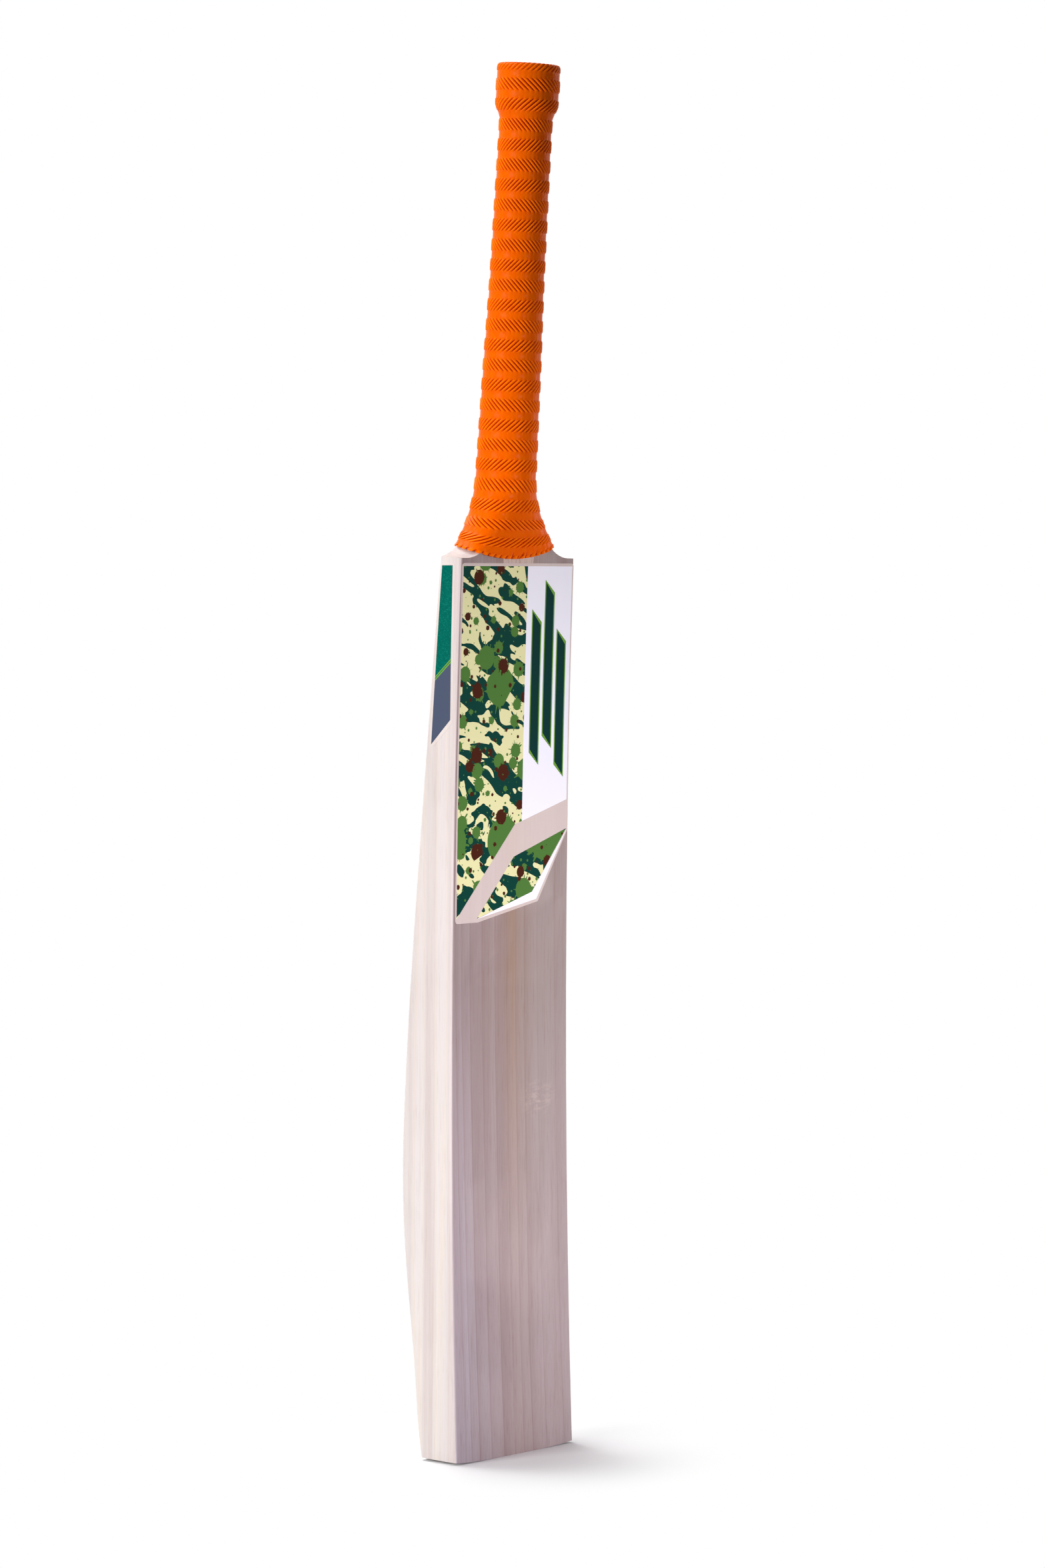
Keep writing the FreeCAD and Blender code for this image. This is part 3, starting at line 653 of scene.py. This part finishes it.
def sleeve_rings():
    """Every ring of the sleeve, from the hem up outside, over the rim and down inside."""
    phases, heights = zip(*RIB_SECTION)
    pitches = np.arange(RIBS).repeat(len(phases)) + np.tile(phases, RIBS)
    around = np.append(pitches / RIBS, 1.0)
    ribs = np.append(np.tile(heights, RIBS), heights[0])
    stubs = STUB_LENGTH * np.clip(2.5 * ribs, 0.0, 1.0)
    slits = np.zeros(len(around))
    slits[np.rint(np.array(SLITS) * (len(around) - 1)).astype(int)] = 1.0
    rings = []
    relief = []

    def add_ring(height, lean, level, inset=0.0, tilt=0.0, drop=0.0):
        level *= min(1.0, max(0.0, SLEEVE_TOP - height) / RIM_FADE + RIM_RIB_SHARE)
        raised = level * (RIB_CREST * ribs - GROOVE_DEPTH * (1.0 - ribs))
        height_share = 0.5 + level * (ribs - 0.5)
        if inset == 0.0 and height < NECK_PLAIN_BANDS[0]:
            raised = raised - SLIT_DEPTH * slits
            height_share = height_share * (1.0 - slits)
        ring = sleeve_ring(around + lean, height, raised, inset, tilt)
        ring[:, 2] -= drop
        rings.append(to_handle(ring))
        relief.append(height_share)

    for height, lean, level in band_rows():
        add_ring(height, lean, level, drop=stubs if height == HEM_HEIGHT else 0.0)
        last_lean = lean
    rim_start = last_lean + RIB_SHIFT * (SLEEVE_TOP - RIM_RADIUS - height) / RIBBED_WIDTH
    for share in RIM_SHARES:
        tilt = share * math.pi / 2.0
        last_lean = rim_start + RIB_SHIFT * RIM_RADIUS * tilt / RIBBED_WIDTH
        add_ring(SLEEVE_TOP - RIM_RADIUS * (1.0 - math.sin(tilt)), last_lean, 1.0,
                 RIM_RADIUS * (1.0 - math.cos(tilt)), tilt)
    collar = PLAIN_RADIUS[-1][1]
    for radius, height in MOUTH:
        add_ring(height, last_lean, 0.0, collar - radius)
    for height in INNER_HEIGHTS:
        wall = WALL_THICKNESS
        if height > COLLAR_FOOT:
            wall = outline_sizes(np.array(height))[0] - BOUND_RADIUS
        add_ring(height, last_lean * height / SLEEVE_TOP, 0.0, wall)
    add_ring(HEM_HEIGHT, 0.0, 0.0, WALL_THICKNESS, drop=stubs)
    return rings, relief


def rubber_sleeve():
    """Ribbed sleeve: one grid wrapped round the handle, out, over the rim and back inside."""
    rings, relief = sleeve_rings()
    bpy.ops.object.select_all(action="DESELECT")
    bpy.ops.mesh.primitive_grid_add(x_subdivisions=len(rings[0]) - 1, y_subdivisions=len(rings),
                                    size=1.0)
    sleeve = bpy.context.active_object
    sleeve.name = "ribbed_sleeve"
    sleeve.data.vertices.foreach_set("co", np.concatenate(rings + rings[:1]).ravel())
    layer = sleeve.data.attributes.new("relief", "FLOAT", "POINT")
    layer.data.foreach_set("value", np.concatenate(relief + relief[:1]))
    edit_all(sleeve)
    bpy.ops.mesh.remove_doubles(threshold=MERGE_DISTANCE)
    bpy.ops.mesh.normals_make_consistent(inside=False)
    leave_edit()
    pick_only(sleeve)
    bpy.ops.object.shade_smooth_by_angle(angle=SLEEVE_SMOOTH_ANGLE)
    settle(sleeve, ["rubber_grip"], [moulded_orange_rubber()])


# ---- Blade ---------------------------------------------------------------------------------------
SOLE_LIFT = 0.7 * MM            # the sole is domed: its ends lie this far above the floor
SOLE_FADE = 30.0 * MM           # the dome runs out over this height
SOLE_STEPS = 9                  # cuts across the blade that let the sole follow the dome
EASED_WIDTH = 0.5 * MM          # of the sanded corners
EASED_ANGLE = math.radians(28.0)    # sharper corners than this are eased
BLADE_SMOOTH_ANGLE = math.radians(32.0)


def willow_blade():
    """The blade with a domed sole, and its corners, sole and shoulder rims eased as if sanded."""
    blade = own_copy("willow_blade", "willow_blade_sanded")
    edit_all(blade)
    for step in range(1, SOLE_STEPS + 1):
        across = TOE_HALF_WIDTH * (2.0 * step / (SOLE_STEPS + 1) - 1.0)
        bpy.ops.mesh.select_all(action="SELECT")
        bpy.ops.mesh.bisect(plane_co=(across, 0.0, 0.0), plane_no=(1.0, 0.0, 0.0),
                            threshold=CUT_TOLERANCE)
    leave_edit()
    for vertex in blade.data.vertices:
        low = max(0.0, 1.0 - vertex.co.z / SOLE_FADE)
        vertex.co.z += SOLE_LIFT * (vertex.co.x / TOE_HALF_WIDTH) ** 2 * low
    apply_modifier(blade, "BEVEL", width=EASED_WIDTH, segments=3, limit_method="ANGLE",
                   angle_limit=EASED_ANGLE)
    pick_only(blade)
    bpy.ops.object.shade_smooth_by_angle(angle=BLADE_SMOOTH_ANGLE)
    settle(blade, ["willow_blade"], [sanded_willow()])


# ---- Films ---------------------------------------------------------------------------------------
FILM_THICKNESS = 0.2 * MM
GLUE_THICKNESS = 0.15 * MM
CORNER_CUTS = (0.125, 0.375, 0.625, 0.875)  # a round corner is cut at these shares of its turn
FACE_CORNER_RADIUS = 2.0        # mm
EDGE_CORNER_RADIUS = 2.5


def cut_line(sheet, point, along, drop_right=False):
    """Cut a flat sheet along a line, and drop the part on its right if asked."""
    edit_all(sheet)
    normal = Vector((-along[1], along[0], 0.0)).normalized()
    bpy.ops.mesh.bisect(plane_co=(point[0] * MM, point[1] * MM, 0.0), plane_no=normal,
                        clear_inner=drop_right, threshold=CUT_TOLERANCE)
    leave_edit()


def trim_outline(sheet, corners, radius):
    """Trim a sheet to a convex outline, counter-clockwise in mm, with rounded corners."""
    points = [Vector(c) for c in corners]
    for before, here, after in zip(points[-1:] + points[:-1], points, points[1:] + points[:1]):
        cut_line(sheet, here, after - here, drop_right=True)
        enter = (here - before).normalized()
        leave = (after - here).normalized()
        turn = enter.angle(leave)
        back = radius * math.tan(turn / 2.0)
        centre = here - enter * back + Vector((-enter.y, enter.x)) * radius
        for share in CORNER_CUTS:
            angle = math.atan2(enter.y, enter.x) + turn * share
            along = Vector((math.cos(angle), math.sin(angle)))
            outward = Vector((along.y, -along.x))
            cut_line(sheet, centre + outward * radius, along, drop_right=True)


def inside(point, corners):
    """Whether a point lies in a convex outline given counter-clockwise."""
    for a, b in zip(corners, corners[1:] + corners[:1]):
        if (b[0] - a[0]) * (point[1] - a[1]) - (b[1] - a[1]) * (point[0] - a[0]) < 0.0:
            return False
    return True


def print_areas(sheet, areas):
    """Cut the borders of convex printed areas into a sheet and give each its material number."""
    for corners, index in areas:
        for a, b in zip(corners, corners[1:] + corners[:1]):
            cut_line(sheet, a, (b[0] - a[0], b[1] - a[1]))
    for polygon in sheet.data.polygons:
        centre = (polygon.center.x / MM, polygon.center.y / MM)
        for corners, index in areas:
            if inside(centre, corners):
                polygon.material_index = index


def blank_sheet(name, left, right, low, high, columns, rows, materials):
    """Flat grid in mm, wide enough to cut a film from."""
    bpy.ops.object.select_all(action="DESELECT")
    bpy.ops.mesh.primitive_grid_add(x_subdivisions=columns, y_subdivisions=rows, size=2.0)
    sheet = bpy.context.active_object
    sheet.name = name
    edit_all(sheet)
    bpy.ops.transform.resize(value=((right - left) / 2.0 * MM, (high - low) / 2.0 * MM, 1.0))
    bpy.ops.transform.translate(value=((left + right) / 2.0 * MM, (low + high) / 2.0 * MM, 0.0))
    leave_edit()
    for material in materials:
        sheet.data.materials.append(material)
    return sheet


# Outlines on the face: place across it from its middle line, height. Both in mm.
FACE_OUTLINE = [(-50.4, 329.5), (-30.4, 329.5), (24.0, 339.9), (50.4, 383.0), (50.4, 548.0),
                (-50.4, 548.0)]
CAMO_UPPER = [(-49.3, 546.2), (-49.3, 332.4), (2.2, 388.3), (2.2, 546.2)]
CAMO_UPPER_RIGHT = [(2.2, 546.2), (2.2, 388.3), (8.5, 390.0), (8.5, 546.2)]
PANEL = [(8.5, 546.2), (8.5, 390.0), (49.3, 402.0), (49.3, 546.2)]
CAMO_LOWER = [(-31.1, 331.9), (18.6, 346.0), (49.4, 384.0), (1.5, 368.3)]
PANEL_FOOT = [(-31.1, 331.6), (22.6, 341.4), (18.6, 346.0)]
PANEL_FOOT_RIGHT = [(22.6, 341.4), (49.6, 383.2), (18.6, 346.0)]
# Slanted bars on the panel: left side, and the heights of its lower and upper end.
STRIPES = ((13.5, 432.0, 512.0), (25.0, 442.0, 530.0), (36.5, 424.0, 500.0))
STRIPE_WIDTH = 9.0
STRIPE_SLANT = 8.0              # the ends fall by this over the width
STRIPE_RIM = 0.9                # width of the leaf-green border


def face_film():
    """Printed vinyl on the upper half of the face: camouflage, a white panel and plain bars."""
    materials = [clear_vinyl("clear_vinyl_on_the_face", 0.6), camouflage_vinyl(),
                 printed_vinyl("white_vinyl", "FAFAFF"),
                 printed_vinyl("dark_green_vinyl", "00342E"),
                 printed_vinyl("leaf_green_vinyl", "6EA13A")]
    film = blank_sheet("face_film", -52.0, 52.0, 325.0, 555.0, 8, 44, materials)
    trim_outline(film, FACE_OUTLINE, FACE_CORNER_RADIUS)
    areas = [(CAMO_UPPER, 1), (CAMO_UPPER_RIGHT, 1), (PANEL, 2), (PANEL_FOOT, 2),
             (PANEL_FOOT_RIGHT, 2), (CAMO_LOWER, 1)]
    for left, low, high in STRIPES:
        for rim, index in ((0.0, 4), (STRIPE_RIM, 3)):
            a = left + rim
            b = left + STRIPE_WIDTH - rim
            areas.append(([(a, low + 2.0 * rim), (b, low - STRIPE_SLANT + 2.0 * rim),
                           (b, high - 2.0 * rim), (a, high + STRIPE_SLANT - 2.0 * rim)], index))
    print_areas(film, areas)
    for vertex in film.data.vertices:
        z = vertex.co.y
        vertex.co.y = face_y(z) - GLUE_THICKNESS
        vertex.co.z = z
    apply_modifier(film, "SOLIDIFY", thickness=FILM_THICKNESS, offset=1.0)
    settle(film, ["face_sticker"])


def half_width(z):
    """Half the blade's width at height z."""
    return TOE_HALF_WIDTH + (SHOULDER_HALF_WIDTH - TOE_HALF_WIDTH) * z / BLADE_LENGTH


# Outlines on the left edge: depth behind the face, height. Both in mm.
EDGE_OUTLINE = [(16.0, 548.0), (4.4, 548.0), (2.4, 452.0), (21.6, 433.5)]
EDGE_TEAL = [(15.1, 546.6), (6.3, 546.6), (5.4, 490.4), (18.1, 479.2)]
EDGE_LIME = [(18.1, 479.2), (5.4, 490.4), (5.3, 487.8), (18.2, 476.6)]
EDGE_LIME_GAP = [(18.15, 478.2), (5.4, 489.4), (5.4, 488.8), (18.2, 477.6)]
EDGE_GREY = [(18.2, 476.6), (5.3, 487.8), (4.6, 453.2), (20.0, 438.0)]


def edge_film():
    """Printed vinyl on the left edge, narrowing up to the shoulder."""
    materials = [clear_vinyl("clear_vinyl_on_the_edge", 0.15), metallic_teal_vinyl(),
                 bpy.data.materials["leaf_green_vinyl"],
                 printed_vinyl("slate_vinyl", "4A5368")]
    film = blank_sheet("edge_film", 0.0, 24.0, 430.0, 550.0, 2, 24, materials)
    trim_outline(film, EDGE_OUTLINE, EDGE_CORNER_RADIUS)
    print_areas(film, [(EDGE_TEAL, 1), (EDGE_LIME, 2), (EDGE_LIME_GAP, 1), (EDGE_GREY, 3)])
    for vertex in film.data.vertices:
        depth, z = vertex.co.x, vertex.co.y
        vertex.co = (-half_width(z) - GLUE_THICKNESS, face_y(z) + depth, z)
    apply_modifier(film, "SOLIDIFY", thickness=FILM_THICKNESS, offset=1.0)
    edit_all(film)
    bpy.ops.mesh.normals_make_consistent(inside=False)
    leave_edit()
    settle(film, ["edge_sticker"])


rubber_sleeve()
willow_blade()
face_film()
edge_film()


# ---- Handle pieces that keep their CAD shape -----------------------------------------------------
def coat_nodes(prefix, material):
    """Give every CAD node whose name starts so its material."""
    for name, node in NODES.items():
        if name.startswith(prefix):
            node.data.materials.clear()
            node.data.materials.append(material)


coat_nodes("cane_", laminated_cane())
coat_nodes("spring_front", sheet_stock("spring_rubber", "2A2624", "3A3430", 1.2, 0.75))
coat_nodes("spring_back", bpy.data.materials["spring_rubber"])
coat_nodes("spring_middle", sheet_stock("pressed_cork", "8C6238", "C79A62", 1.1, 0.85))
coat_nodes("twine_binding", waxed_twine())


# ---- Floor, light and background -----------------------------------------------------------------
FLOOR_COLOUR = "F6F6F6"         # where it is seen
FLOOR_BOUNCE = "A8A8A8"         # towards the bat, so that its front stays shaded
FLOOR_SHADE_NEAR = 35.0         # mm from the bat; the floor shows its full shading up to here
FLOOR_SHADE_FAR = 150.0         # from here on the floor is plain white to the camera


def seen_directly(tree):
    """1 for rays from the camera, a mirror or clear material, 0 for the light on the object."""
    share = 0.0
    for kind in ("Is Camera Ray", "Is Glossy Ray", "Is Transmission Ray"):
        share = add(tree, "Math", add(tree, "LightPath", out=kind), share, operation="MAXIMUM")
    return share


def add_floor():
    """White floor that keeps the shadow round the toe and runs out into a white background."""
    bpy.ops.object.select_all(action="DESELECT")
    bpy.ops.mesh.primitive_plane_add(size=30.0, location=(0.0, 0.0, 0.0))
    floor = bpy.context.active_object
    floor.name = "floor"
    material, tree = new_material("white_floor")
    here = millimetres(tree)
    fade = add(tree, "MapRange", add(tree, "VectorMath", here, operation="LENGTH"),
               FLOOR_SHADE_NEAR, FLOOR_SHADE_FAR, interpolation_type="SMOOTHSTEP")
    seen = seen_directly(tree)
    plain = add(tree, "Math", seen, fade, operation="MULTIPLY")
    colour = add(tree, "Mix", seen, FLOOR_BOUNCE, FLOOR_COLOUR, data_type="RGBA")
    painted = add(tree, "BsdfPrincipled", Base_Color=colour, Roughness=0.9,
                  Specular_IOR_Level=0.1)
    white = add(tree, "Emission", "FFFFFF", 1.0)
    add(tree, "OutputMaterial", add(tree, "MixShader", plain, painted, white))
    floor.data.materials.append(material)


def add_lamp(name, kind, place, target, power, code, **settings):
    """Lamp of one kind at a place, aimed at a target, with the settings of its kind."""
    data = bpy.data.lights.new(name, kind)
    data.energy = power
    data.color = hex_colour(code)[:3]
    for key, value in settings.items():
        setattr(data, key, value)
    lamp = bpy.data.objects.new(name, data)
    lamp.location = place
    aim = Vector(target) - Vector(place)
    lamp.rotation_euler = aim.to_track_quat("-Z", "Y").to_euler()
    bpy.context.scene.collection.objects.link(lamp)


ROOM_LEVEL = 0.10               # light from the room in front of the bat
STUDIO_LEVEL = 0.40             # light from the white studio behind it
# Cosine between a direction and the way that the camera looks: up to the first is the room, and
# from the second on the studio.
ROOM_SIDE = -0.1
STUDIO_SIDE = 0.8


def add_world():
    """White studio behind the bat, darker room in front of it, plain white where it is seen."""
    world = bpy.data.worlds.new("studio")
    bpy.context.scene.world = world
    world.use_nodes = True
    tree = world.node_tree
    tree.nodes.clear()
    way = add(tree, "TexCoord", out="Generated")
    behind = add(tree, "VectorMath", way, (math.sin(CAMERA_YAW), math.cos(CAMERA_YAW), 0.0),
                 operation="DOT_PRODUCT")
    level = add(tree, "MapRange", behind, ROOM_SIDE, STUDIO_SIDE, ROOM_LEVEL, STUDIO_LEVEL,
                interpolation_type="SMOOTHSTEP")
    add(tree, "OutputWorld", add(tree, "MixShader", seen_directly(tree),
                                 add(tree, "Background", "F4F2FA", level),
                                 add(tree, "Background", "FFFFFF", 1.0)))


add_floor()
# Softboxes: a tall one on the left edge, a square one overhead behind and a strip on the right.
add_lamp("key", "AREA", (-2.6, 0.35, 1.0), (0.0, 0.0, 0.45), 66.0, "FFFFFF",
         shape="RECTANGLE", size=1.0, size_y=1.8)
add_lamp("top", "AREA", (0.0, 1.5, 2.8), (0.0, 0.0, 0.0), 80.0, "FFFFFF",
         shape="RECTANGLE", size=2.0, size_y=2.0)
add_lamp("rim", "AREA", (2.3, -0.65, 0.75), (0.0, 0.0, 0.6), 13.0, "FFF4F4",
         shape="RECTANGLE", size=0.2, size_y=1.8)
# A snooted lamp lights the blade's face and stops short of the grip.
add_lamp("face_fill", "SPOT", (-0.3, -2.4, 0.5), (0.0, 0.0, 0.28), 205.0, "FAF4FF",
         spot_size=math.radians(18.0), spot_blend=0.45, shadow_soft_size=0.25)
add_world()
bpy.context.scene.view_settings.view_transform = "Standard"
